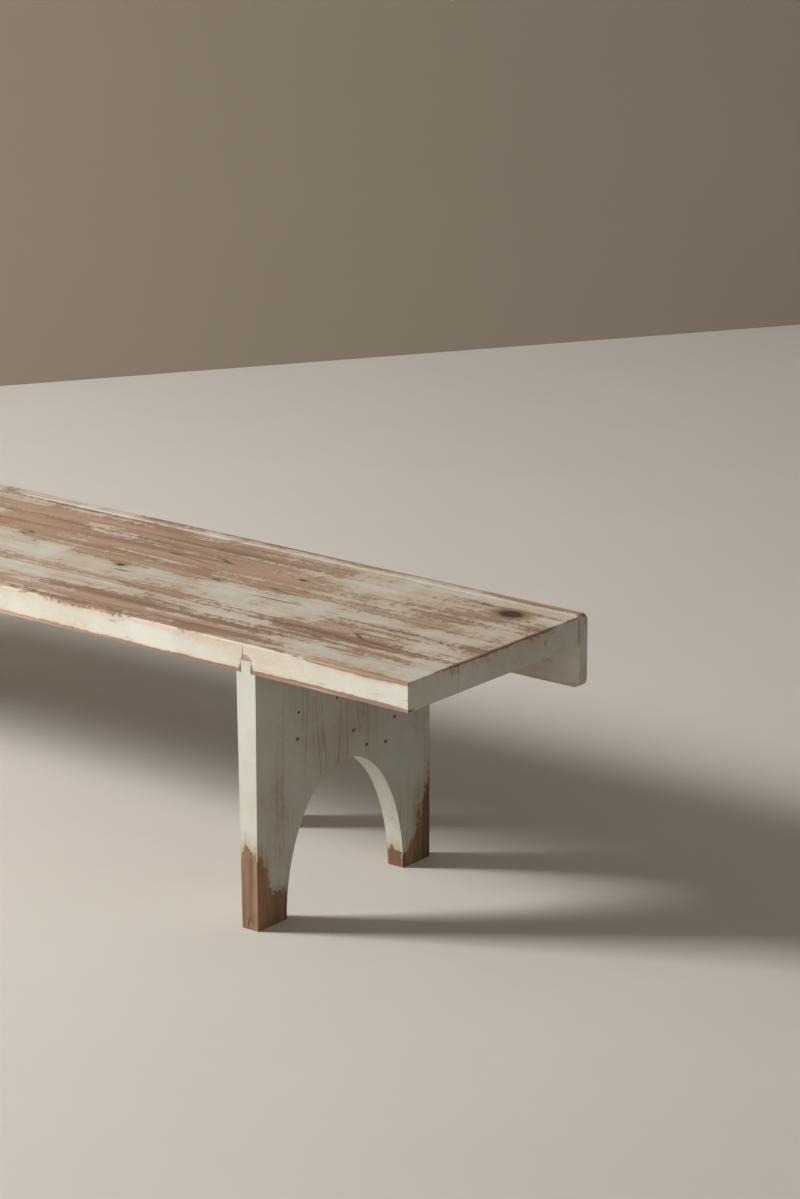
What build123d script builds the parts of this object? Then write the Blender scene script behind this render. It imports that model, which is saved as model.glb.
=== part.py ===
"""Swedish pull-out bench bed: a plank bench with a sleeping platform that slides out behind.

Millimetres, +Z up. The origin is on the floor under the middle of the closed bench,
+X runs along the seat and +Y towards the pull-out's rail.
"""
from build123d import *
import os

os.makedirs("parts", exist_ok=True)

# Bench
BENCH_LENGTH = 2200.0
SEAT_HEIGHT = 430.0
SEAT_THICK = 43.0
FRONT_BOARD_WIDTH = 113.0
BACK_BOARD_WIDTH = 285.0
ARRIS_ROUND = 3.0

# Plank legs, thicker under the seat than at the floor
LEG_OVERHANG = 274.0
LEG_THICK_TOP = 35.0
LEG_THICK_FOOT = 29.0
LEG_FRONT_BOARD_WIDTH = 206.0
LEG_PAST_SEAT = 3.0
ARCH_HALF_WIDTH = 136.0
ARCH_HEIGHT = 210.0

# Sliding dovetail between leg and seat
TONGUE_HEIGHT = 19.0
TONGUE_ROOT = 16.5
TONGUE_HEAD = 20.0
HOUSING_FIT = 0.1

# Dowels in the edge joints
SEAT_DOWEL_RADIUS = 6.0
SEAT_DOWEL_LENGTH = 80.0
SEAT_DOWEL_PITCH = 300.0
SEAT_DOWEL_COUNT = 7
LEG_DOWEL_RADIUS = 5.0
LEG_DOWEL_LENGTH = 70.0
LEG_DOWEL_EDGE = 38.0
DOWEL_FIT = 0.05
DOWEL_END_ROOM = 1.0

# Pull-out frame
RAIL_THICK = 21.0
RAIL_HEIGHT = 109.0
RAIL_CORNER = 10.0
CLOSED_GAP = 0.3
PLATFORM_SETBACK = 60.0
PLATFORM_DROP = 2.0
PLATFORM_THICK = 20.0
PLATFORM_BOARDS = 3
PLATFORM_GAP = 3.0
SIDE_CLEARANCE = 2.0
BEARER_HEIGHT = 40.0
BEARER_WIDTH = 30.0
NOSE_SETBACK = 100.0
NOSE_HEIGHT = 14.0
NOSE_LENGTH = 75.0
JOIST_THICK = 30.0
JOIST_SETBACK = 205.0
JOIST_BITE = 12.0
JOINT_FIT = 0.1

# Legs of the pull-out
PULL_LEG_INSET = 540.0
PULL_LEG_THICK = 32.0
PULL_LEG_WIDTH = 68.0
PULL_LEG_FOOT = 48.0
PULL_LEG_NOTCH = 14.0
LEG_PEG_RADIUS = 5.0
LEG_PEG_SPACING = 30.0

# Running gear
TRAVEL = 300.0
RUN_CLEARANCE = 0.3
LEDGER_HEIGHT = 34.0
LEDGER_THICK = 34.0
LEDGER_SETBACK = 50.0
STOP_PEG_RADIUS = 5.0
STOP_PEG_STANDOUT = 9.0
STOP_PEG_DEPTH = 24.0
STOP_PEG_SETBACK = 22.0
GROOVE_DEPTH = 12.0
GROOVE_SIDE_ROOM = 1.0

# Forged nails
NAIL_SHANK = 4.0
NAIL_TIP = 1.6
NAIL_HEAD = 8.0
NAIL_HEAD_HEIGHT = 1.6
PLATFORM_NAIL_LENGTH = 45.0
RAIL_NAIL_LENGTH = 60.0
LEDGER_NAIL_LENGTH = 58.0
LEDGER_NAIL_COUNT = 4
LEDGER_NAIL_END = 45.0
NAIL_EDGE = 26.0
RAIL_NAIL_OFFSET = 9.0

# Places across the bench
seat_depth = FRONT_BOARD_WIDTH + BACK_BOARD_WIDTH
leg_depth = seat_depth + LEG_PAST_SEAT
overall_depth = leg_depth + CLOSED_GAP + RAIL_THICK
front_y = -overall_depth / 2
seat_joint_y = front_y + FRONT_BOARD_WIDTH
seat_rear_y = front_y + seat_depth
leg_joint_y = front_y + LEG_FRONT_BOARD_WIDTH
leg_rear_y = front_y + leg_depth
arch_y = front_y + leg_depth / 2
rail_inner_y = leg_rear_y + CLOSED_GAP
rail_outer_y = rail_inner_y + RAIL_THICK
platform_front_y = front_y + PLATFORM_SETBACK
joist_front_y = front_y + JOIST_SETBACK
stop_peg_y = leg_rear_y - STOP_PEG_SETBACK

# Heights
underside_z = SEAT_HEIGHT - SEAT_THICK
platform_top_z = underside_z - PLATFORM_DROP
platform_bottom_z = platform_top_z - PLATFORM_THICK
bearer_bottom_z = platform_bottom_z - BEARER_HEIGHT
bearer_middle_z = platform_bottom_z - BEARER_HEIGHT / 2
ledger_top_z = bearer_bottom_z - RUN_CLEARANCE
ledger_bottom_z = ledger_top_z - LEDGER_HEIGHT

# Places along the bench, for the right side; the left side is its mirror image
half_length = BENCH_LENGTH / 2
leg_outer_x = half_length - LEG_OVERHANG
leg_inner_x = leg_outer_x - LEG_THICK_TOP
leg_inner_foot_x = leg_outer_x - LEG_THICK_FOOT
tongue_x = leg_outer_x - LEG_THICK_TOP / 2
end_bearer_outer_x = leg_inner_x - SIDE_CLEARANCE
end_bearer_inner_x = end_bearer_outer_x - BEARER_WIDTH
end_bearer_x = (end_bearer_outer_x + end_bearer_inner_x) / 2
pull_leg_outer_x = half_length - PULL_LEG_INSET
pull_leg_inner_x = pull_leg_outer_x - PULL_LEG_THICK
mid_bearer_outer_x = pull_leg_inner_x + PULL_LEG_NOTCH
mid_bearer_inner_x = mid_bearer_outer_x - BEARER_WIDTH
mid_bearer_x = (mid_bearer_outer_x + mid_bearer_inner_x) / 2
ledger_inner_x = leg_inner_x - LEDGER_THICK
bearer_places = (-end_bearer_x, -mid_bearer_x, mid_bearer_x, end_bearer_x)


def section_at(y):
    """Plane across the bench's depth at y: its extrusions run towards the front."""
    return Plane.XZ.offset(-y)


def save(piece, name):
    """Label a finished piece and write it as its own file."""
    piece.label = name
    export_step(piece, f"parts/{name}.step")


def mirrored(piece):
    """The left-hand copy of a right-hand piece."""
    return mirror(piece, about=Plane.YZ)


def tongue_outline(fit):
    """Dovetail section from the seat's underside upwards, wider by the fit on every side."""
    low = TONGUE_ROOT / 2 + fit
    high = TONGUE_HEAD / 2 + fit
    top = underside_z + TONGUE_HEIGHT + fit
    return [
        (tongue_x - low, underside_z),
        (tongue_x + low, underside_z),
        (tongue_x + high, top),
        (tongue_x - high, top),
    ]


def forged_nail(length):
    """Square tapered nail that points down -Z, its faceted head flush at Z = 0."""
    with BuildPart() as nail:
        with BuildSketch(Plane.XY.offset(-NAIL_HEAD_HEIGHT)):
            Rectangle(NAIL_HEAD, NAIL_HEAD)
        with BuildSketch(Plane.XY):
            Rectangle(NAIL_SHANK, NAIL_SHANK)
        loft()
        with BuildSketch(Plane.XY.offset(-NAIL_HEAD_HEIGHT)):
            Rectangle(NAIL_SHANK, NAIL_SHANK)
        with BuildSketch(Plane.XY.offset(-length)):
            Rectangle(NAIL_TIP, NAIL_TIP)
        loft()
    return nail.part


# ---------------------------------------------------------------- nails and their places
platform_nail = forged_nail(PLATFORM_NAIL_LENGTH)
rail_nail = forged_nail(RAIL_NAIL_LENGTH)
ledger_nail = forged_nail(LEDGER_NAIL_LENGTH)

platform_depth = rail_inner_y - platform_front_y
board_width = (platform_depth - (PLATFORM_BOARDS - 1) * PLATFORM_GAP) / PLATFORM_BOARDS
board_fronts = [platform_front_y + n * (board_width + PLATFORM_GAP) for n in range(PLATFORM_BOARDS)]
nose_front_y = front_y + NOSE_SETBACK


def platform_nail_places(board_front_y):
    """Two nails over each bearer, kept behind the mid bearers' noses."""
    first_y = max(board_front_y, nose_front_y) + NAIL_EDGE / 2
    second_y = board_front_y + board_width - NAIL_EDGE / 2
    return [Location((x, y, platform_top_z)) for x in bearer_places for y in (first_y, second_y)]


platform_places = [place for y in board_fronts for place in platform_nail_places(y)]

rail_nail_heights = (bearer_middle_z - BEARER_HEIGHT / 4, bearer_middle_z + BEARER_HEIGHT / 4)
pull_leg_nail_x = (pull_leg_outer_x + mid_bearer_outer_x) / 2
bearer_nail_columns = [x + (RAIL_NAIL_OFFSET if x > 0 else -RAIL_NAIL_OFFSET) for x in bearer_places]
rail_nail_columns = (*bearer_nail_columns, -pull_leg_nail_x, pull_leg_nail_x)
rail_places = [
    Location((x, rail_outer_y, z), (-90, 0, 0)) for x in rail_nail_columns for z in rail_nail_heights
]

ledger_nail_z = ledger_bottom_z + LEDGER_HEIGHT / 2
ledger_nail_first_y = front_y + LEDGER_SETBACK + LEDGER_NAIL_END
ledger_nail_step = (leg_rear_y - LEDGER_NAIL_END - ledger_nail_first_y) / (LEDGER_NAIL_COUNT - 1)
right_ledger_places = [
    Location((leg_outer_x, ledger_nail_first_y + n * ledger_nail_step, ledger_nail_z), (0, 90, 0))
    for n in range(LEDGER_NAIL_COUNT)
]

# ---------------------------------------------------------------- seat
seat_dowel_z = SEAT_HEIGHT - SEAT_THICK / 2
seat_dowel_places = [(n - (SEAT_DOWEL_COUNT - 1) / 2) * SEAT_DOWEL_PITCH for n in range(SEAT_DOWEL_COUNT)]


def seat_board(y_low, y_high, worn_edge_y):
    """Seat plank between two depths, housed for both legs, with one worn long edge on top."""
    with BuildPart() as board:
        with BuildSketch(section_at(y_high)):
            with Locations((0, seat_dowel_z)):
                Rectangle(BENCH_LENGTH, SEAT_THICK)
        extrude(amount=y_high - y_low)
        top_edges = board.edges().filter_by(Axis.X).group_by(Axis.Z)[-1]
        fillet(top_edges.sort_by(lambda edge: abs(edge.center().Y - worn_edge_y))[0], ARRIS_ROUND)
        with BuildSketch(section_at(y_high)):
            with BuildLine():
                Polyline(*tongue_outline(HOUSING_FIT), close=True)
            make_face()
            mirror(about=Plane.YZ)
        extrude(amount=y_high - y_low, mode=Mode.SUBTRACT)
        with BuildSketch(section_at(seat_joint_y)):
            with Locations(*[(x, seat_dowel_z) for x in seat_dowel_places]):
                Circle(SEAT_DOWEL_RADIUS + DOWEL_FIT)
        extrude(amount=SEAT_DOWEL_LENGTH / 2 + DOWEL_END_ROOM, both=True, mode=Mode.SUBTRACT)
    return board.part


save(seat_board(front_y, seat_joint_y, front_y), "seat_front_board")
save(seat_board(seat_joint_y, seat_rear_y, seat_rear_y), "seat_back_board")

with BuildPart() as seat_dowels:
    with BuildSketch(section_at(seat_joint_y)):
        with Locations(*[(x, seat_dowel_z) for x in seat_dowel_places]):
            Circle(SEAT_DOWEL_RADIUS)
    extrude(amount=SEAT_DOWEL_LENGTH / 2, both=True)
save(seat_dowels.part, "seat_dowels")

# ---------------------------------------------------------------- plank legs
leg_dowel_heights = (ARCH_HEIGHT + LEG_DOWEL_EDGE / 2, underside_z - LEG_DOWEL_EDGE / 2)


def leg_inner_face_x(z):
    """Inner face of the right leg, which leans in from the foot to the seat."""
    return leg_inner_foot_x - (LEG_THICK_TOP - LEG_THICK_FOOT) * z / underside_z


leg_dowel_places = [((leg_outer_x + leg_inner_face_x(z)) / 2, z) for z in leg_dowel_heights]


def leg_board(y_low, y_high):
    """Board of the right leg between two depths, with its half of the arch and the tongue."""
    with BuildPart() as board:
        with BuildSketch(section_at(y_high)):
            with BuildLine():
                Polyline(
                    (leg_outer_x, 0),
                    (leg_outer_x, underside_z),
                    (leg_inner_x, underside_z),
                    (leg_inner_foot_x, 0),
                    close=True,
                )
            make_face()
        extrude(amount=y_high - y_low)
        tongue_rear_y = min(y_high, seat_rear_y)
        with BuildSketch(section_at(tongue_rear_y)):
            with BuildLine():
                Polyline(*tongue_outline(0), close=True)
            make_face()
        extrude(amount=tongue_rear_y - y_low)
        with BuildSketch(Plane.YZ.offset(leg_outer_x)):
            with Locations((arch_y, 0)):
                Ellipse(ARCH_HALF_WIDTH, ARCH_HEIGHT)
        extrude(amount=-LEG_THICK_TOP, mode=Mode.SUBTRACT)
        with BuildSketch(section_at(leg_joint_y)):
            with Locations(*leg_dowel_places):
                Circle(LEG_DOWEL_RADIUS + DOWEL_FIT)
        extrude(amount=LEG_DOWEL_LENGTH / 2 + DOWEL_END_ROOM, both=True, mode=Mode.SUBTRACT)
        with Locations(*right_ledger_places):
            add(ledger_nail, mode=Mode.SUBTRACT)
    return board.part


with BuildPart() as leg_dowels:
    with BuildSketch(section_at(leg_joint_y)):
        with Locations(*leg_dowel_places):
            Circle(LEG_DOWEL_RADIUS)
    extrude(amount=LEG_DOWEL_LENGTH / 2, both=True)

# ---------------------------------------------------------------- ledgers and their stop pegs
ledger_front_y = front_y + LEDGER_SETBACK

with BuildPart() as stop_peg:
    with BuildSketch(Plane.XY.offset(ledger_top_z - STOP_PEG_DEPTH)):
        with Locations((end_bearer_x, stop_peg_y)):
            Circle(STOP_PEG_RADIUS)
    extrude(amount=STOP_PEG_DEPTH + STOP_PEG_STANDOUT)

with BuildPart() as ledger:
    with BuildSketch(section_at(leg_rear_y)):
        with BuildLine():
            Polyline(
                (leg_inner_face_x(ledger_bottom_z), ledger_bottom_z),
                (leg_inner_face_x(ledger_top_z), ledger_top_z),
                (ledger_inner_x, ledger_top_z),
                (ledger_inner_x, ledger_bottom_z),
                close=True,
            )
        make_face()
    extrude(amount=leg_rear_y - ledger_front_y)
    with Locations(*right_ledger_places):
        add(ledger_nail, mode=Mode.SUBTRACT)
    with BuildSketch(Plane.XY.offset(ledger_top_z - STOP_PEG_DEPTH)):
        with Locations((end_bearer_x, stop_peg_y)):
            Circle(STOP_PEG_RADIUS + DOWEL_FIT)
    extrude(amount=STOP_PEG_DEPTH, mode=Mode.SUBTRACT)

with BuildPart() as ledger_nails:
    with Locations(*right_ledger_places):
        add(ledger_nail)
    mirror(about=Plane.YZ)

with BuildPart() as stop_pegs:
    add(stop_peg.part)
    mirror(about=Plane.YZ)

right_fixed_pieces = {
    "leg_front_board": leg_board(front_y, leg_joint_y),
    "leg_rear_board": leg_board(leg_joint_y, leg_rear_y),
    "leg_dowels": leg_dowels.part,
    "ledger": ledger.part,
}
for name, piece in right_fixed_pieces.items():
    save(mirrored(piece), f"left_{name}")
    save(piece, f"right_{name}")
save(ledger_nails.part, "ledger_nails")
save(stop_pegs.part, "stop_pegs")

# ---------------------------------------------------------------- bearers of the pull-out
joist_middle_y = joist_front_y + JOIST_THICK / 2
groove_front_y = stop_peg_y - STOP_PEG_RADIUS - TRAVEL - RUN_CLEARANCE
groove_rear_y = stop_peg_y + STOP_PEG_RADIUS + GROOVE_SIDE_ROOM
groove_width = 2 * (STOP_PEG_RADIUS + GROOVE_SIDE_ROOM)

with BuildPart() as end_bearer:
    with BuildSketch(section_at(rail_inner_y)):
        with Locations((end_bearer_x, bearer_middle_z)):
            Rectangle(BEARER_WIDTH, BEARER_HEIGHT)
    extrude(amount=rail_inner_y - platform_front_y)
    with BuildSketch(Plane.XY.offset(bearer_bottom_z)):
        with Locations((end_bearer_x, (groove_front_y + groove_rear_y) / 2)):
            SlotOverall(groove_rear_y - groove_front_y, groove_width, rotation=90)
    extrude(amount=GROOVE_DEPTH, mode=Mode.SUBTRACT)
    with BuildSketch(Plane.XY.offset(platform_bottom_z)):
        with Locations((end_bearer_inner_x + JOIST_BITE / 2, joist_middle_y)):
            Rectangle(JOIST_BITE, JOIST_THICK + 2 * JOINT_FIT)
    extrude(amount=-BEARER_HEIGHT / 2, mode=Mode.SUBTRACT)
    with Locations(*platform_places):
        add(platform_nail, mode=Mode.SUBTRACT)
    with Locations(*rail_places):
        add(rail_nail, mode=Mode.SUBTRACT)

# The mid bearer lies in the notch of its leg and tapers to a low nose under the seat's front.
peg_ys = (
    rail_inner_y - (PULL_LEG_WIDTH - LEG_PEG_SPACING) / 2 - LEG_PEG_SPACING,
    rail_inner_y - (PULL_LEG_WIDTH - LEG_PEG_SPACING) / 2,
)


peg_length = pull_leg_outer_x - mid_bearer_inner_x


def round_pegs(radius):
    """Two pegs of one radius, from the right leg's outer side through the bearer."""
    with BuildPart() as pegs:
        with BuildSketch(Plane.YZ.offset(pull_leg_outer_x)):
            with Locations(*[(y, bearer_middle_z) for y in peg_ys]):
                Circle(radius)
        extrude(amount=-peg_length)
    return pegs.part


peg_holes = round_pegs(LEG_PEG_RADIUS + DOWEL_FIT)

with BuildPart() as mid_bearer:
    with BuildSketch(Plane.YZ.offset(mid_bearer_inner_x)):
        with BuildLine():
            Polyline(
                (rail_inner_y, platform_bottom_z),
                (nose_front_y, platform_bottom_z),
                (nose_front_y, platform_bottom_z - NOSE_HEIGHT),
                (nose_front_y + NOSE_LENGTH, bearer_bottom_z),
                (rail_inner_y, bearer_bottom_z),
                close=True,
            )
        make_face()
    extrude(amount=BEARER_WIDTH)
    with BuildSketch(Plane.XY.offset(platform_bottom_z)):
        with Locations((mid_bearer_x, joist_middle_y)):
            Rectangle(BEARER_WIDTH, JOIST_THICK + 2 * JOINT_FIT)
    extrude(amount=-BEARER_HEIGHT / 2, mode=Mode.SUBTRACT)
    with Locations(*platform_places):
        add(platform_nail, mode=Mode.SUBTRACT)
    with Locations(*rail_places):
        add(rail_nail, mode=Mode.SUBTRACT)
    add(peg_holes, mode=Mode.SUBTRACT)

# ---------------------------------------------------------------- joist
joist_reach_x = end_bearer_inner_x + JOIST_BITE - JOINT_FIT

with BuildPart() as joist:
    with BuildSketch(section_at(joist_front_y + JOIST_THICK)):
        with Locations((0, bearer_middle_z)):
            Rectangle(2 * end_bearer_inner_x, BEARER_HEIGHT)
        with Locations((0, bearer_middle_z + BEARER_HEIGHT / 4)):
            Rectangle(2 * joist_reach_x, BEARER_HEIGHT / 2)
        with Locations(
            (-mid_bearer_x, bearer_middle_z - BEARER_HEIGHT / 4),
            (mid_bearer_x, bearer_middle_z - BEARER_HEIGHT / 4),
        ):
            Rectangle(BEARER_WIDTH + 2 * JOINT_FIT, BEARER_HEIGHT / 2, mode=Mode.SUBTRACT)
    extrude(amount=JOIST_THICK)
save(joist.part, "joist")

# ---------------------------------------------------------------- legs of the pull-out
with BuildPart() as pull_leg:
    with BuildSketch(Plane.YZ.offset(pull_leg_inner_x)):
        with BuildLine():
            Polyline(
                (rail_inner_y, 0),
                (rail_inner_y, platform_bottom_z),
                (rail_inner_y - PULL_LEG_WIDTH, platform_bottom_z),
                (rail_inner_y - PULL_LEG_WIDTH, bearer_bottom_z),
                (rail_inner_y - PULL_LEG_FOOT, 0),
                close=True,
            )
        make_face()
    extrude(amount=PULL_LEG_THICK)
    with BuildSketch(section_at(rail_inner_y)):
        with Locations((pull_leg_inner_x + PULL_LEG_NOTCH / 2, bearer_middle_z)):
            Rectangle(PULL_LEG_NOTCH, BEARER_HEIGHT)
    extrude(amount=PULL_LEG_WIDTH, mode=Mode.SUBTRACT)
    with Locations(*rail_places):
        add(rail_nail, mode=Mode.SUBTRACT)
    add(peg_holes, mode=Mode.SUBTRACT)

right_moving_pieces = {
    "end_bearer": end_bearer.part,
    "mid_bearer": mid_bearer.part,
    "pull_leg": pull_leg.part,
}
for name, piece in right_moving_pieces.items():
    save(mirrored(piece), f"left_{name}")
    save(piece, f"right_{name}")

with BuildPart() as leg_pegs:
    add(round_pegs(LEG_PEG_RADIUS))
    mirror(about=Plane.YZ)
save(leg_pegs.part, "leg_pegs")

# ---------------------------------------------------------------- platform boards
board_names = ("platform_front_board", "platform_middle_board", "platform_rear_board")
for name, board_front in zip(board_names, board_fronts):
    with BuildPart() as platform_board:
        with BuildSketch(section_at(board_front + board_width)):
            with Locations((0, platform_top_z - PLATFORM_THICK / 2)):
                Rectangle(2 * end_bearer_outer_x, PLATFORM_THICK)
        extrude(amount=board_width)
        with Locations(*platform_nail_places(board_front)):
            add(platform_nail, mode=Mode.SUBTRACT)
    save(platform_board.part, name)

with BuildPart() as platform_nails:
    with Locations(*platform_places):
        add(platform_nail)
save(platform_nails.part, "platform_nails")

# ---------------------------------------------------------------- rail
with BuildPart() as rail:
    with BuildSketch(section_at(rail_outer_y)) as rail_face:
        with Locations((0, SEAT_HEIGHT - RAIL_HEIGHT / 2)):
            Rectangle(BENCH_LENGTH, RAIL_HEIGHT)
        fillet(rail_face.vertices().group_by(Axis.Z)[0], RAIL_CORNER)
    extrude(amount=RAIL_THICK)
    rail_tops = rail.edges().filter_by(Axis.X).group_by(Axis.Z)[-1]
    fillet(rail_tops.sort_by(Axis.Y)[-1], ARRIS_ROUND)
    with Locations(*rail_places):
        add(rail_nail, mode=Mode.SUBTRACT)
save(rail.part, "rail")

with BuildPart() as rail_nails:
    with Locations(*rail_places):
        add(rail_nail)
save(rail_nails.part, "rail_nails")
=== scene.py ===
"""Looks of an old painted pull-out bench bed: worn oil paint on pine, studio light and camera."""
import logging
import math
from dataclasses import dataclass
from enum import Enum
from typing import Union

import bpy
import numpy as np
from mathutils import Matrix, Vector


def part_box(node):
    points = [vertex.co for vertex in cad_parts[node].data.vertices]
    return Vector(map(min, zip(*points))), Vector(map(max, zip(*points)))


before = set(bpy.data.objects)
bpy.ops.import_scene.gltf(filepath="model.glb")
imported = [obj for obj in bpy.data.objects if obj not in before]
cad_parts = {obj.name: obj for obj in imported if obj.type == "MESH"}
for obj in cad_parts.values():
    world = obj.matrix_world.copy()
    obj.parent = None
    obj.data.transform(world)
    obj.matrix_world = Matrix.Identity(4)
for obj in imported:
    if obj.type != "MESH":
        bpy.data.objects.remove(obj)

log = logging.getLogger("bench")

Socket = bpy.types.NodeSocket
Colour = tuple[float, float, float]
Point = tuple[float, float, float]
Range = tuple[float, float]
Input = Union[Socket, float, Point]

EVEN: Point = (1.0, 1.0, 1.0)
SIDES = (-1, 1)

OFF_WHITE: Colour = (0.60, 0.585, 0.515)
# The seat's off-white made darker: painted shade on the legs under the seat.
SHADED_LEG_WHITE: Colour = (0.54, 0.53, 0.47)
SHADED_WHITE: Colour = (0.40, 0.345, 0.27)
TAN: Colour = (0.42, 0.275, 0.185)
DEEP_TAN: Colour = (0.26, 0.155, 0.098)
# The next two are the seat's tan and dark tan made darker: painted shade on the legs and the bare timber
# under the seat.
SHADED_PINE: Colour = (0.30, 0.175, 0.090)
SHADED_DARK_PINE: Colour = (0.14, 0.075, 0.038)
CRACK_TONE: Colour = (0.045, 0.030, 0.020)
SEAM_TONE: Colour = (0.055, 0.038, 0.026)
KNOT_RING: Colour = (0.24, 0.130, 0.050)
KNOT_HEART: Colour = (0.030, 0.018, 0.012)
YELLOWING: Colour = (0.82, 0.78, 0.68)


class Grain(Enum):
    """Axis along which the grain runs, as the scale of a noise along X, Y and Z."""

    LENGTH = (0.05, 1.0, 1.0)
    DEPTH = (1.0, 0.05, 1.0)
    HEIGHT = (1.0, 1.0, 0.05)

    @property
    def axis(self) -> Point:
        """Unit vector along the grain."""
        return tuple(1.0 if scale < 1.0 else 0.0 for scale in self.value)


@dataclass(frozen=True)
class Noise:
    """One fractal noise.

    Args (fields):
        size: cells per metre, before the noise is stretched along the grain.
        detail, rough: octaves and their strength.
    """

    size: float
    detail: float = 6.0
    rough: float = 0.6


@dataclass(frozen=True)
class Spot:
    """Ellipsoid that marks a place on the wood.

    Args (fields):
        centre: its middle, counted from a datum until it is placed.
        radii: its half sizes along X, Y and Z.
        wear: paint worn away inside (positive) or kept (negative); knots and seams don't use it.
    """

    centre: Point
    radii: Point
    wear: float = 0.0

    def placed(self, datum: Point, side: int = 1) -> "Spot":
        """The same ellipsoid in the bench's own frame.

        Args:
            datum: point that the centre is counted from.
            side: 1 as it is, -1 mirrored to the left end.

        Returns:
            The placed spot.
        """
        x, y, z = (start + shift for start, shift in zip(datum, self.centre))
        return Spot((side * x, y, z), self.radii, self.wear)


@dataclass(frozen=True)
class WoodFinish:
    """Old pine with what is left of its paint.

    Args (fields):
        name: material name.
        grain: direction of the grain.
        paint, wood, dark: colours of paint, bare wood and its dark grain.
        cover: how much paint is left, from 1 for nearly all to below 0 for none.
        spots: places with more or less wear.
        knots: places of knots and small dark marks.
        seams: thin dark joints between boards, as flat ellipsoids.
        cracking: how dark the drying cracks are, 0 to 1.
    """

    name: str
    grain: Grain
    paint: Colour
    wood: Colour
    dark: Colour
    cover: float
    spots: tuple[Spot, ...] = ()
    knots: tuple[Spot, ...] = ()
    seams: tuple[Spot, ...] = ()
    cracking: float = 0.75


@dataclass(frozen=True)
class Ageing:
    """How long use shows in wood and paint; a range gives the start and end of a smooth step.

    Args (fields):
        fine_grain, bands, streaks: noises drawn out along the grain.
        clouds, flakes: even noises of patches and of small chips.
        checks: noise whose middle value draws the drying cracks.
        check_stretch, check_width: its extra length, and a crack's half width in noise values.
        check_clouds: clouds over which cracks appear.
        end_facing: share of facing along the grain over which a face becomes end grain.
        streak_share, cloud_share, flake_share: what each noise adds to the wear.
        spot_fade: reach over which a spot's wear comes in, in its radii.
        first_limit, limit_per_cover: wear that bares the wood at cover 0, and more for cover 1.
        paint_edge: wear from the limit to fully bare wood.
        thin_before, thin_after: wear before and after the limit over which paint thins.
        band_range, pale_lines, dark_lines: noise values of dark bands, pale and dark grain.
        pale_gain: brightness of pale grain against the wood.
        dark_share, end_share: strength of dark grain lines and of end grain.
        yellow_clouds: clouds over which paint turns yellow.
        stain_gain, stain_share: brightness and strength of wood seen through thin paint.
        ragged: how much chips disturb a knot's rim, in its radii.
        ring_fade, ring_share: reach and strength of the ring round a knot.
        heart_fade, heart_share: reach and strength of its dark heart.
        seam_fade, seam_streaks: reach of a seam, and the streaks over which it shows.
        paint_rough, wood_rougher: roughness of paint, and what bare wood adds.
        paint_height, grain_height, cloud_height, crack_depth: shares of the relief.
        relief_depth, relief_strength: relief in metres, and how much of it shows.
    """

    fine_grain: Noise = Noise(130.0, 5.0, 0.65)
    bands: Noise = Noise(38.0, 4.0, 0.5)
    streaks: Noise = Noise(26.0, 9.0, 0.72)
    clouds: Noise = Noise(7.0, 6.0, 0.6)
    flakes: Noise = Noise(120.0, 6.0, 0.7)
    checks: Noise = Noise(95.0, 0.5, 0.5)
    check_stretch: float = 0.35
    check_width: float = 0.012
    check_clouds: Range = (0.40, 0.55)
    end_facing: Range = (0.3, 0.8)
    streak_share: float = 0.60
    cloud_share: float = 0.28
    flake_share: float = 0.22
    spot_fade: Range = (1.3, 0.2)
    first_limit: float = 0.36
    limit_per_cover: float = 0.36
    paint_edge: float = 0.035
    thin_before: float = 0.12
    thin_after: float = 0.02
    band_range: Range = (0.35, 0.65)
    pale_lines: Range = (0.55, 0.75)
    dark_lines: Range = (0.45, 0.25)
    pale_gain: float = 1.35
    dark_share: float = 0.6
    end_share: float = 0.6
    yellow_clouds: Range = (0.30, 0.72)
    stain_gain: float = 1.25
    stain_share: float = 0.55
    ragged: float = 0.35
    ring_fade: Range = (1.7, 0.8)
    ring_share: float = 0.85
    heart_fade: Range = (0.95, 0.6)
    heart_share: float = 0.9
    seam_fade: Range = (1.0, 0.7)
    seam_streaks: Range = (0.30, 0.50)
    paint_rough: float = 0.62
    wood_rougher: float = 0.18
    paint_height: float = 0.6
    grain_height: float = 0.25
    cloud_height: float = 0.9
    crack_depth: float = 0.8
    relief_depth: float = 0.0016
    relief_strength: float = 0.8


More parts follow.
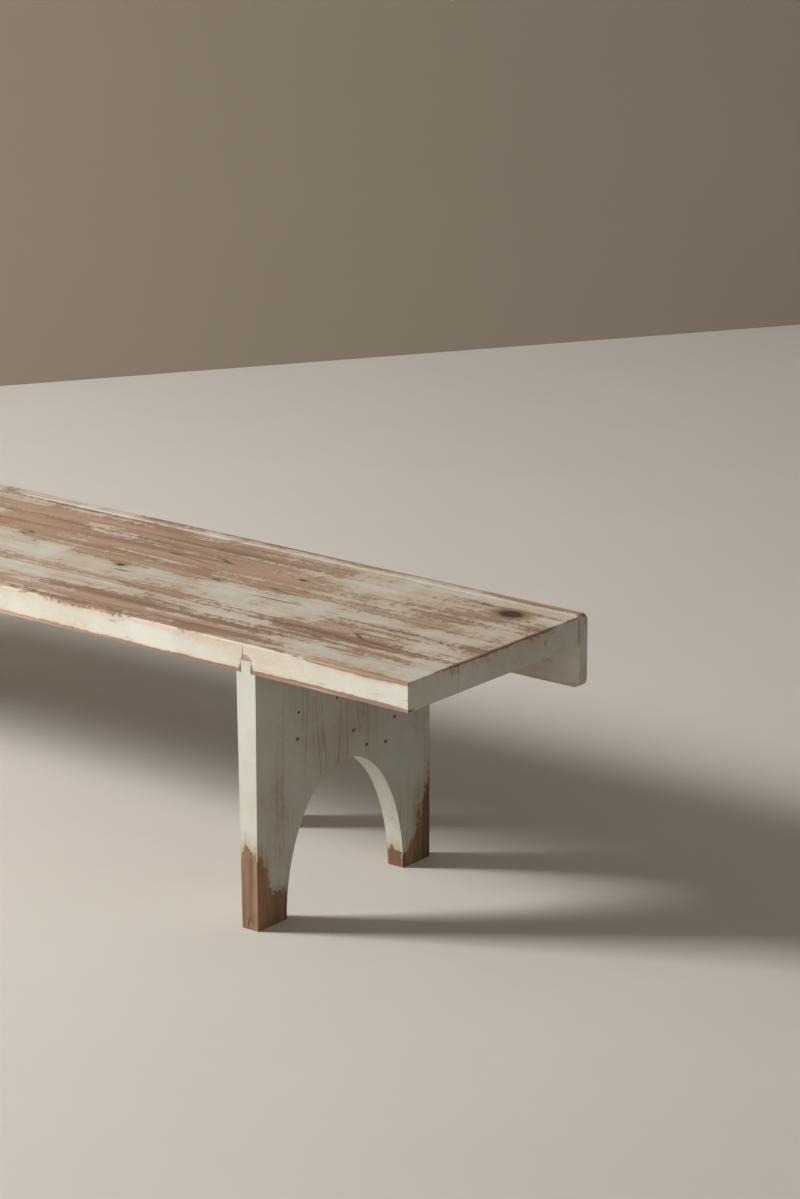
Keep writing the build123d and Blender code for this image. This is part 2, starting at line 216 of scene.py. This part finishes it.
class NodeDesk:
    """Short ways to place and join shader nodes in one material."""

    def __init__(self, name: str) -> None:
        """Start an empty material.

        Args:
            name: the material's name.
        """
        self.material = bpy.data.materials.new(name)
        self.material.use_nodes = True
        self.tree = self.material.node_tree
        self.shader = self.tree.nodes["Principled BSDF"]
        coordinates = self.tree.nodes.new("ShaderNodeTexCoord")
        self.place = coordinates.outputs["Object"]

    def feed(self, socket: Socket, value: Input) -> None:
        """Link a socket or set a plain value.

        Args:
            socket: input to fill.
            value: socket to link, or number, vector or colour to set.
        """
        if isinstance(value, bpy.types.NodeSocket):
            self.tree.links.new(value, socket)
        else:
            socket.default_value = value

    def math(self, operation: str, first: Input, second: Input = 0.0) -> Socket:
        """One arithmetic step on two values; the result isn't clamped.

        Args:
            operation: name of the math node's operation.
            first, second: sockets or numbers.

        Returns:
            The result's socket.
        """
        node = self.tree.nodes.new("ShaderNodeMath")
        node.operation = operation
        self.feed(node.inputs[0], first)
        self.feed(node.inputs[1], second)
        return node.outputs[0]

    def plus(self, first: Input, second: Input) -> Socket:
        """Sum of two values."""
        return self.math("ADD", first, second)

    def minus(self, first: Input, second: Input) -> Socket:
        """First value less the second."""
        return self.math("SUBTRACT", first, second)

    def times(self, first: Input, second: Input) -> Socket:
        """Product of two values."""
        return self.math("MULTIPLY", first, second)

    def vector(self, operation: str, first: Socket, second: Point) -> bpy.types.Node:
        """One step of vector arithmetic.

        Args:
            operation: name of the vector math node's operation.
            first: socket of a vector.
            second: plain vector.

        Returns:
            The node, with a vector and a value among its outputs.
        """
        node = self.tree.nodes.new("ShaderNodeVectorMath")
        node.operation = operation
        self.feed(node.inputs[0], first)
        node.inputs[1].default_value = second
        return node

    def noise(self, scale: Point, noise: Noise) -> Socket:
        """Fractal noise, drawn out along the axes with a small scale.

        Args:
            scale: factor for each axis.
            noise: its size, octaves and strength.

        Returns:
            The noise, about 0.5 on average.
        """
        node = self.tree.nodes.new("ShaderNodeTexNoise")
        self.feed(node.inputs["Vector"], self.vector("MULTIPLY", self.place, scale).outputs[0])
        node.inputs["Scale"].default_value = noise.size
        node.inputs["Detail"].default_value = noise.detail
        node.inputs["Roughness"].default_value = noise.rough
        return node.outputs["Fac"]

    def ramp(self, value: Input, span: Range) -> Socket:
        """Smooth step from 0 at the span's start to 1 at its end; the start may be the larger.

        Args:
            value: socket to test.
            span: values that give 0 and 1.

        Returns:
            The step's socket.
        """
        start, end = span
        node = self.tree.nodes.new("ShaderNodeMapRange")
        node.interpolation_type = "SMOOTHSTEP"
        self.feed(node.inputs["Value"], value)
        falling = start > end
        node.inputs["From Min"].default_value = min(start, end)
        node.inputs["From Max"].default_value = max(start, end)
        node.inputs["To Min"].default_value = 1.0 if falling else 0.0
        node.inputs["To Max"].default_value = 0.0 if falling else 1.0
        return node.outputs["Result"]

    def mix(self, share: Input, first: Input, second: Input) -> Socket:
        """Colour mix, the first at share 0 and the second at share 1.

        Args:
            share: socket or number from 0 to 1.
            first, second: sockets or plain colours.

        Returns:
            The mixed colour.
        """
        node = self.tree.nodes.new("ShaderNodeMix")
        node.data_type = "RGBA"
        self.feed(node.inputs[0], share)
        for socket, colour in ((node.inputs[6], first), (node.inputs[7], second)):
            plain = not isinstance(colour, bpy.types.NodeSocket)
            self.feed(socket, (*colour, 1.0) if plain else colour)
        return node.outputs[2]

    def reach(self, spot: Spot) -> Socket:
        """Distance from a spot's centre, counted in its own radii.

        Args:
            spot: the ellipsoid.

        Returns:
            The distance, 1 on the ellipsoid's surface.
        """
        shift = self.vector("SUBTRACT", self.place, spot.centre)
        scale = self.vector("DIVIDE", shift.outputs[0], spot.radii)
        length = self.tree.nodes.new("ShaderNodeVectorMath")
        length.operation = "LENGTH"
        self.feed(length.inputs[0], scale.outputs[0])
        return length.outputs["Value"]

    def facing(self, axis: Point) -> Socket:
        """How squarely the surface faces along an axis, from 0 to 1.

        Args:
            axis: unit vector.

        Returns:
            The share's socket.
        """
        geometry = self.tree.nodes.new("ShaderNodeNewGeometry")
        dot = self.vector("DOT_PRODUCT", geometry.outputs["Normal"], axis)
        return self.math("ABSOLUTE", dot.outputs["Value"])

    def bump(self, height: Socket, distance: float, strength: float) -> None:
        """Surface relief from a height.

        Args:
            height: socket of the height.
            distance: what a height of 1 stands for, in metres.
            strength: share of the relief that shows.
        """
        node = self.tree.nodes.new("ShaderNodeBump")
        node.inputs["Distance"].default_value = distance
        node.inputs["Strength"].default_value = strength
        self.feed(node.inputs["Height"], height)
        self.feed(self.shader.inputs["Normal"], node.outputs["Normal"])


class WornWood(NodeDesk):
    """Bare pine with grain, knots and cracks under paint that is worn off in streaks."""

    def __init__(self, finish: WoodFinish, age: Ageing = Ageing()) -> None:
        """Start the material with the patterns that its wood, paint and relief share.

        Args:
            finish: colours, grain direction, cover and the places of wear.
            age: how wear, grain and cracks show.
        """
        super().__init__(finish.name)
        self.finish, self.age = finish, age
        along = finish.grain.value
        self.fine_grain = self.noise(along, age.fine_grain)
        self.bands = self.noise(along, age.bands)
        self.streaks = self.noise(along, age.streaks)
        self.clouds = self.noise(EVEN, age.clouds)
        self.flakes = self.noise(EVEN, age.flakes)
        self.end_grain = self.ramp(self.facing(finish.grain.axis), age.end_facing)
        self.cracks = self.drying_cracks()
        self.bare, self.thin = self.worn_paint()

    def drying_cracks(self) -> Socket:
        """Thin lines where a noise drawn out along the grain crosses its middle value.

        Returns:
            The lines, 1 in a crack and 0 on end grain.
        """
        scale = tuple(self.age.check_stretch * value for value in self.finish.grain.value)
        field = self.noise(scale, self.age.checks)
        off_line = self.math("ABSOLUTE", self.minus(field, 0.5))
        lines = self.ramp(off_line, (self.age.check_width, 0.0))
        lines = self.times(lines, self.ramp(self.clouds, self.age.check_clouds))
        return self.times(lines, self.minus(1.0, self.end_grain))

    def worn_paint(self) -> tuple[Socket, Socket]:
        """Wear, added up from noises and spots, held against the limit that the cover sets.

        Returns:
            Share of bare wood, and share of thin paint.
        """
        age = self.age
        wear = self.times(self.streaks, age.streak_share)
        wear = self.plus(wear, self.times(self.clouds, age.cloud_share))
        wear = self.plus(wear, self.times(self.flakes, age.flake_share))
        for spot in self.finish.spots:
            inside = self.ramp(self.reach(spot), age.spot_fade)
            wear = self.plus(wear, self.times(inside, spot.wear))
        limit = age.first_limit + age.limit_per_cover * self.finish.cover
        bare = self.ramp(wear, (limit, limit + age.paint_edge))
        thin = self.ramp(wear, (limit - age.thin_before, limit + age.thin_after))
        return bare, thin

    def wood_colour(self) -> Socket:
        """Light and dark bands of pine with pale and dark grain lines and darker end grain.

        Returns:
            The colour's socket.
        """
        age, wood, dark = self.age, self.finish.wood, self.finish.dark
        colour = self.mix(self.ramp(self.bands, age.band_range), wood, dark)
        pale = tuple(min(1.0, age.pale_gain * value) for value in wood)
        colour = self.mix(self.ramp(self.fine_grain, age.pale_lines), colour, pale)
        lines = self.times(self.ramp(self.fine_grain, age.dark_lines), age.dark_share)
        colour = self.mix(lines, colour, dark)
        return self.mix(self.times(self.end_grain, age.end_share), colour, dark)

    def paint_colour(self) -> Socket:
        """Paint that has yellowed in clouds and lets the wood through where it is thin.

        Returns:
            The colour's socket.
        """
        age, paint = self.age, self.finish.paint
        yellowed = tuple(value * shade for value, shade in zip(paint, YELLOWING))
        colour = self.mix(self.ramp(self.clouds, age.yellow_clouds), paint, yellowed)
        stain = tuple(age.stain_gain * value for value in self.finish.wood)
        return self.mix(self.times(self.thin, age.stain_share), colour, stain)

    def marked(self, colour: Socket) -> Socket:
        """Draw cracks, knots and seams over a colour.

        Args:
            colour: socket of the colour below.

        Returns:
            The marked colour's socket.
        """
        age = self.age
        colour = self.mix(self.times(self.cracks, self.finish.cracking), colour, CRACK_TONE)
        for knot in self.finish.knots:
            reach = self.plus(self.reach(knot), self.times(self.flakes, age.ragged))
            ring = self.times(self.ramp(reach, age.ring_fade), age.ring_share)
            colour = self.mix(ring, colour, KNOT_RING)
            heart = self.times(self.ramp(reach, age.heart_fade), age.heart_share)
            colour = self.mix(heart, colour, KNOT_HEART)
        for seam in self.finish.seams:
            line = self.ramp(self.reach(seam), age.seam_fade)
            dark = self.times(line, self.ramp(self.streaks, age.seam_streaks))
            colour = self.mix(dark, colour, SEAM_TONE)
        return colour

    def relief(self) -> Socket:
        """Paint that stands on the wood, with grain and clouds added and cracks cut in.

        Returns:
            The height's socket.
        """
        age = self.age
        height = self.times(self.minus(1.0, self.bare), age.paint_height)
        height = self.plus(height, self.times(self.fine_grain, age.grain_height))
        height = self.plus(height, self.times(self.clouds, age.cloud_height))
        return self.minus(height, self.times(self.cracks, age.crack_depth))

    def build(self) -> bpy.types.Material:
        """Join colour, roughness and relief to the shader.

        Returns:
            The material.
        """
        age = self.age
        surface = self.mix(self.bare, self.paint_colour(), self.wood_colour())
        roughness = self.plus(age.paint_rough, self.times(self.bare, age.wood_rougher))
        self.feed(self.shader.inputs["Base Color"], self.marked(surface))
        self.feed(self.shader.inputs["Roughness"], roughness)
        self.bump(self.relief(), age.relief_depth, age.relief_strength)
        return self.material


@dataclass(frozen=True)
class ForgedIron:
    """Dark hammered iron with patches of rust.

    Args (fields):
        iron, rust: its two colours.
        patches: noise that mixes them and gives the relief.
        metallic, roughness: values of the whole surface.
        relief_depth, relief_strength: relief in metres, and how much of it shows.
    """

    name: str = "forged_iron"
    iron: Colour = (0.03, 0.025, 0.022)
    rust: Colour = (0.16, 0.07, 0.035)
    patches: Noise = Noise(300.0)
    metallic: float = 0.5
    roughness: float = 0.7
    relief_depth: float = 0.0005
    relief_strength: float = 0.6

    def build(self) -> bpy.types.Material:
        """Make the material.

        Returns:
            The material.
        """
        desk = NodeDesk(self.name)
        patches = desk.noise(EVEN, self.patches)
        desk.feed(desk.shader.inputs["Base Color"], desk.mix(patches, self.iron, self.rust))
        desk.shader.inputs["Metallic"].default_value = self.metallic
        desk.shader.inputs["Roughness"].default_value = self.roughness
        desk.bump(patches, self.relief_depth, self.relief_strength)
        return desk.material


def dress(nodes: tuple[str, ...], material: bpy.types.Material) -> None:
    """Give CAD pieces one material.

    Args:
        nodes: names of the pieces.
        material: what they wear.
    """
    for node in nodes:
        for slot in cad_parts[node].material_slots:
            slot.material = material
        log.info("%s wears %s", node, material.name)


@dataclass(frozen=True)
class Edges:
    """Lines and faces of the closed bench that marks are counted from, in metres.

    Args (fields):
        front, back: y of the seat's front face and of the rail's far face.
        end, leg_face: x of the seat's right end and of the right leg's outer face.
        under, top: z of the seat's underside and top.
        seat_joint, leg_joint: y of the joints between the boards of the seat and of a leg.
    """

    front: float
    back: float
    end: float
    leg_face: float
    under: float
    top: float
    seat_joint: float
    leg_joint: float

    @classmethod
    def read(cls) -> "Edges":
        """Take them from the CAD pieces' boxes.

        Returns:
            The edges.
        """
        seat_low, seat_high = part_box("seat_front_board")
        leg_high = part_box("right_leg_front_board")[1]
        rail_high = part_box("rail")[1]
        return cls(seat_low[1], rail_high[1], seat_high[0], leg_high[0],
                   seat_low[2], seat_high[2], seat_high[1], leg_high[1])


@dataclass(frozen=True)
class Seat:
    """Two-board seat, worn alike at both ends.

    Args (fields):
        edges: what the marks are counted from.
        nodes: its CAD pieces.
        cover: how much paint is left.
        lower_arris, front_face: chipped lower edge and better kept face of the whole front.
        inner_patch, front_patch: bare areas of the top, from the middle and the front.
        lower_corner, upper_corner: chipped front edges near an end.
        end_arris, end_face: worn top edge and better kept face of an end.
        housing_chip: paint lost round a leg's tongue, from the leg's outer face.
        end_knot, inner_knot, outer_knot: knots of the top, from its middle.
        board_joint: long joint between the boards, seen on the ends.
        housing_inset: from a leg's outer face to the middle of its housing.
        housing_top, inner_wall, outer_wall: outline of the housing on the front face.
        split: short crack above the housing.
    """

    edges: Edges
    nodes: tuple[str, ...] = ("seat_front_board", "seat_back_board")
    cover: float = 0.585
    lower_arris: Spot = Spot((0.0, 0.0, 0.0), (3.0, 0.008, 0.006), 0.12)
    front_face: Spot = Spot((0.0, 0.0, -0.022), (3.0, 0.010, 0.016), -0.07)
    inner_patch: Spot = Spot((0.36, 0.10, 0.0), (0.46, 0.10, 0.02), 0.085)
    front_patch: Spot = Spot((0.60, 0.03, 0.0), (0.24, 0.06, 0.012), 0.085)
    lower_corner: Spot = Spot((-0.12, 0.0, 0.0), (0.20, 0.02, 0.007), 0.26)
    upper_corner: Spot = Spot((-0.06, 0.0, 0.0), (0.14, 0.005, 0.005), 0.24)
    end_arris: Spot = Spot((0.0, 0.0, 0.0), (0.004, 0.25, 0.004), 0.10)
    end_face: Spot = Spot((0.0, 0.0, 0.0), (0.03, 0.40, 0.040), -0.10)
    housing_chip: Spot = Spot((-0.017, 0.0, 0.012), (0.013, 0.006, 0.015), 0.34)
    end_knot: Spot = Spot((1.015, 0.138, 0.0), (0.034, 0.024, 0.012))
    inner_knot: Spot = Spot((0.398, -0.02, 0.0), (0.012, 0.007, 0.01))
    outer_knot: Spot = Spot((0.668, 0.086, 0.0), (0.010, 0.005, 0.01))
    board_joint: Spot = Spot((0.0, 0.0, 0.0), (1.9, 0.0009, 0.09))
    housing_inset: float = 0.0175
    housing_top: Spot = Spot((0.0, 0.0, 0.0190), (0.0125, 0.012, 0.0013))
    inner_wall: Spot = Spot((-0.0098, 0.0, 0.009), (0.0011, 0.012, 0.013))
    outer_wall: Spot = Spot((0.0098, 0.0, 0.009), (0.0011, 0.012, 0.013))
    split: Spot = Spot((-0.006, 0.0, -0.014), (0.0007, 0.01, 0.013))

    def spots(self) -> tuple[Spot, ...]:
        """Bare and well kept areas of the top, front and ends.

        Returns:
            The placed spots.
        """
        edges = self.edges
        spots = [self.lower_arris.placed((0.0, edges.front, edges.under)),
                 self.front_face.placed((0.0, edges.front, edges.top))]
        for side in SIDES:
            spots += [
                self.inner_patch.placed((0.0, 0.0, edges.top), side),
                self.front_patch.placed((0.0, edges.front, edges.top), side),
                self.lower_corner.placed((edges.end, edges.front, edges.under), side),
                self.upper_corner.placed((edges.end, edges.front, edges.top), side),
                self.end_arris.placed((edges.end, 0.0, edges.top), side),
                self.end_face.placed((edges.end, 0.0, edges.under), side),
                self.housing_chip.placed((edges.leg_face, edges.front, edges.under), side),
            ]
        return tuple(spots)

    def knots(self) -> tuple[Spot, ...]:
        """The knots of the top, mirrored to the left half."""
        knots = (self.end_knot, self.inner_knot, self.outer_knot)
        return tuple(knot.placed((0.0, 0.0, self.edges.top), side) for side in SIDES for knot in knots)

    def seams(self) -> tuple[Spot, ...]:
        """The joint between the boards, and the outline of each housing with the crack above it.

        Returns:
            The placed seams.
        """
        edges = self.edges
        seams = [self.board_joint.placed((0.0, edges.seat_joint, edges.top))]
        for side in SIDES:
            middle = side * (edges.leg_face - self.housing_inset)
            below = (middle, edges.front, edges.under)
            seams += [line.placed(below) for line in (self.housing_top, self.inner_wall, self.outer_wall)]
            seams.append(self.split.placed((middle, edges.front, edges.top)))
        return tuple(seams)

    def build(self) -> None:
        """Paint both boards."""
        finish = WoodFinish("seat_paint", Grain.LENGTH, OFF_WHITE, TAN, DEEP_TAN, self.cover,
                            self.spots(), self.knots(), self.seams())
        dress(self.nodes, WornWood(finish).build())


@dataclass(frozen=True)
class Rail:
    """Deep board along the far side.

    Args (fields):
        edges: what the mark is counted from.
        nodes: its CAD piece.
        cover: how much paint is left.
        top_arris: worn upper far edge.
    """

    edges: Edges
    nodes: tuple[str, ...] = ("rail",)
    cover: float = 0.72
    top_arris: Spot = Spot((0.0, 0.0, 0.0), (3.0, 0.02, 0.006), 0.10)

    def build(self) -> None:
        """Paint the rail."""
        worn = (self.top_arris.placed((0.0, self.edges.back, self.edges.top)),)
        finish = WoodFinish("rail_paint", Grain.LENGTH, OFF_WHITE, TAN, DEEP_TAN, self.cover, worn)
        dress(self.nodes, WornWood(finish).build())


@dataclass(frozen=True)
class Legs:
    """Arched plank legs of the bench and the pull-out's own legs, bare at the feet, in darker copies of
    the seat's paint and wood as painted shade under the seat.

    Args (fields):
        edges: what the marks are counted from.
        nodes: their CAD pieces.
        cover: how much paint is left.
        cracking: how dark their drying cracks are.
        front_foot, front_foot_side: bare wood of the front foot, high and wide.
        rear_foot, rear_foot_side: the same of the rear foot.
        marks: y and z of small dark knots and old nail marks on the outer faces.
        mark_radii: size of each mark.
        board_joint: joint between a leg's boards, from the floor.
    """

    edges: Edges
    nodes: tuple[str, ...] = ("right_leg_front_board", "right_leg_rear_board", "left_leg_front_board",
                              "left_leg_rear_board", "right_pull_leg", "left_pull_leg")
    cover: float = 0.86
    cracking: float = 0.22
    front_foot: Spot = Spot((-0.015, 0.0, 0.0), (0.06, 0.035, 0.150), 0.42)
    front_foot_side: Spot = Spot((-0.015, 0.03, 0.0), (0.06, 0.075, 0.06), 0.27)
    rear_foot: Spot = Spot((-0.015, -0.02, 0.0), (0.06, 0.045, 0.17), 0.36)
    rear_foot_side: Spot = Spot((-0.015, -0.05, 0.0), (0.06, 0.07, 0.045), 0.30)
    marks: tuple[Range, ...] = ((-0.119, 0.268), (0.009, 0.248), (0.039, 0.218), (0.084, 0.211),
                                (0.105, 0.244))
    mark_radii: Point = (0.02, 0.0035, 0.0030)
    board_joint: Spot = Spot((0.0, 0.0, 0.30), (2.0, 0.0008, 0.20))

    def spots(self) -> tuple[Spot, ...]:
        """Feet that have lost their paint.

        Returns:
            The placed spots.
        """
        front = (self.edges.leg_face, self.edges.front, 0.0)
        rear = (self.edges.leg_face, self.edges.back, 0.0)
        spots = []
        for side in SIDES:
            spots += [foot.placed(front, side) for foot in (self.front_foot, self.front_foot_side)]
            spots += [foot.placed(rear, side) for foot in (self.rear_foot, self.rear_foot_side)]
        return tuple(spots)

    def knots(self) -> tuple[Spot, ...]:
        """Small dark marks above the arch, on both legs."""
        places = [(side * self.edges.leg_face, y, z) for side in SIDES for y, z in self.marks]
        return tuple(Spot(place, self.mark_radii) for place in places)

    def build(self) -> None:
        """Paint the legs."""
        seam = self.board_joint.placed((0.0, self.edges.leg_joint, 0.0))
        # Paint and wood colours here are the darker copies of the seat's: painted shade under the seat.
        finish = WoodFinish("leg_paint", Grain.HEIGHT, SHADED_LEG_WHITE, SHADED_PINE, SHADED_DARK_PINE, self.cover,
                            self.spots(), self.knots(), (seam,), self.cracking)
        dress(self.nodes, WornWood(finish).build())


@dataclass(frozen=True)
class BareTimber:
    """Unpainted pine in darker wood colours that paint the shade under the seat: the running gear, the
    platform and the wooden pins.

    Args (fields):
        along: CAD pieces with their grain along the seat, and all pins but the leg pegs.
        across: CAD pieces with their grain across the seat.
        cover: so low that no paint is left.
    """

    along: tuple[str, ...] = ("platform_front_board", "platform_middle_board", "platform_rear_board",
                              "joist", "seat_dowels", "right_leg_dowels", "left_leg_dowels", "stop_pegs")
    across: tuple[str, ...] = ("right_ledger", "left_ledger", "right_end_bearer", "left_end_bearer",
                               "right_mid_bearer", "left_mid_bearer", "leg_pegs")
    cover: float = -0.4

    def build(self) -> None:
        """Give each piece pine with its own run of the grain."""
        for name, grain, nodes in (("bare_pine_length", Grain.LENGTH, self.along),
                                   ("bare_pine_depth", Grain.DEPTH, self.across)):
            # The wood colours are the darker copies: painted shade under the seat.
            finish = WoodFinish(name, grain, SHADED_WHITE, SHADED_PINE, SHADED_DARK_PINE, self.cover)
            dress(nodes, WornWood(finish).build())


@dataclass(frozen=True)
class Nails:
    """Forged nails of the ledgers, the platform and the rail."""

    nodes: tuple[str, ...] = ("ledger_nails", "platform_nails", "rail_nails")

    def build(self) -> None:
        """Give the nails their iron."""
        dress(self.nodes, ForgedIron().build())


@dataclass(frozen=True)
class Backdrop:
    """Plain plaster sheet of the room, clear from behind so that it never hides the bench.

    Args (fields):
        name: object and material name.
        light_tone, dark_tone: colours of its faint clouds.
        clouds: noise of the clouds.
        roughness: value of the whole sheet.
        steps: cells along each side.
    """

    name: str
    light_tone: Colour
    dark_tone: Colour
    clouds: Noise = Noise(2.0)
    roughness: float = 0.85
    steps: int = 12

    def material(self) -> bpy.types.Material:
        """Cloudy plaster that shows on its front face alone.

        Returns:
            The material.
        """
        desk = NodeDesk(self.name)
        tone = desk.mix(desk.noise(EVEN, self.clouds), self.dark_tone, self.light_tone)
        desk.feed(desk.shader.inputs["Base Color"], tone)
        desk.shader.inputs["Roughness"].default_value = self.roughness
        side = desk.tree.nodes.new("ShaderNodeNewGeometry")
        desk.feed(desk.shader.inputs["Alpha"], desk.minus(1.0, side.outputs["Backfacing"]))
        return desk.material

    def build(self, start: Point, along: Point, upward: Point) -> None:
        """Make the sheet: start + u * along + v * upward, for u and v from 0 to 1 on a grid.

        Args:
            start: one corner.
            along, upward: the two sides from that corner; their cross product faces the bench.
        """
        line, row = np.linspace(0, 1, self.steps + 1), self.steps + 1
        u, v = np.meshgrid(line, line, indexing="ij")
        points = np.array(start) + u[..., None] * np.array(along) + v[..., None] * np.array(upward)
        corner = (np.arange(self.steps)[:, None] * row + np.arange(self.steps)[None, :]).ravel()
        faces = np.stack([corner, corner + row, corner + row + 1, corner + 1], axis=1)
        mesh = bpy.data.meshes.new(self.name)
        mesh.from_pydata(points.reshape(-1, 3).tolist(), [], faces.tolist())
        mesh.materials.append(self.material())
        sheet = bpy.data.objects.new(self.name, mesh)
        bpy.context.scene.collection.objects.link(sheet)


@dataclass(frozen=True)
class Room:
    """Pale floor all round and a brown wall behind the bench.

    Args (fields):
        floor, wall: the two sheets.
        floor_reach: half the side of the square floor.
        wall_width, wall_height: size of the wall.
        wall_distance: from the bench's middle to the wall.
        turn: angle of the wall to the seat, in degrees.
    """

    floor: Backdrop = Backdrop("floor_plaster", (0.63, 0.59, 0.54), (0.57, 0.53, 0.48))
    wall: Backdrop = Backdrop("wall_plaster", (0.49, 0.42, 0.335), (0.45, 0.38, 0.30))
    floor_reach: float = 16.0
    wall_width: float = 16.0
    wall_height: float = 6.0
    wall_distance: float = 2.58
    turn: float = 57.0

    def build(self) -> None:
        """Lay the floor and stand the wall on it."""
        reach = self.floor_reach
        self.floor.build((-reach, -reach, 0.0), (2 * reach, 0.0, 0.0), (0.0, 2 * reach, 0.0))
        turn = math.radians(self.turn)
        across = np.array([math.cos(turn), math.sin(turn), 0.0])
        middle = self.wall_distance * np.array([-math.sin(turn), math.cos(turn), 0.0])
        start = tuple(middle - 0.5 * self.wall_width * across)
        self.wall.build(start, tuple(self.wall_width * across), (0.0, 0.0, self.wall_height))


@dataclass(frozen=True)
class Camera:
    """Long lens looking down on the seat's near corner; angles in degrees, places in metres."""

    place: Point = (4.334, -4.319, 2.108)
    yaw: float = 38.33
    pitch: float = 16.60
    lens: float = 120.6

    def build(self) -> None:
        """Make the scene's camera."""
        data = bpy.data.cameras.new("camera")
        data.lens = self.lens
        camera = bpy.data.objects.new("camera", data)
        camera.location = self.place
        camera.rotation_euler = (math.radians(90 - self.pitch), 0.0, math.radians(self.yaw))
        bpy.context.scene.collection.objects.link(camera)
        bpy.context.scene.camera = camera


@dataclass(frozen=True)
class SoftBox:
    """Square area lamp, with its place, side and target in metres and its power in watts."""

    name: str
    place: Point
    size: float
    power: float
    target: Point = (0.4, 0.0, 0.3)

    def build(self) -> None:
        """Make the lamp and turn it towards its target."""
        data = bpy.data.lights.new(self.name, "AREA")
        data.size, data.energy = self.size, self.power
        lamp = bpy.data.objects.new(self.name, data)
        lamp.location = self.place
        aim = Vector(self.target) - lamp.location
        lamp.rotation_euler = aim.to_track_quat("-Z", "Y").to_euler()
        bpy.context.scene.collection.objects.link(lamp)


@dataclass(frozen=True)
class Studio:
    """Key light from the front left, weak fill from the front right, and a dim warm world."""

    key: SoftBox = SoftBox("key", (-4.6, -3.6, 3.3), 1.3, 730.0)
    fill: SoftBox = SoftBox("fill", (3.0, -5.0, 4.0), 3.0, 20.0)
    world_tone: Colour = (1.0, 0.95, 0.88)
    world_strength: float = 0.22

    def build(self) -> None:
        """Hang both lamps and light the world."""
        self.key.build()
        self.fill.build()
        world = bpy.data.worlds.new("world")
        world.use_nodes = True
        background = world.node_tree.nodes["Background"]
        background.inputs["Color"].default_value = (*self.world_tone, 1.0)
        background.inputs["Strength"].default_value = self.world_strength
        bpy.context.scene.world = world


def main() -> None:
    """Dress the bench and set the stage."""
    logging.basicConfig(level=logging.INFO)
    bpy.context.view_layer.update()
    edges = Edges.read()
    for part in (Seat(edges), Rail(edges), Legs(edges), BareTimber(), Nails()):
        part.build()
    for surroundings in (Room(), Camera(), Studio()):
        surroundings.build()
    bpy.context.scene.view_settings.view_transform = "Standard"


if __name__ == "__main__":
    main()
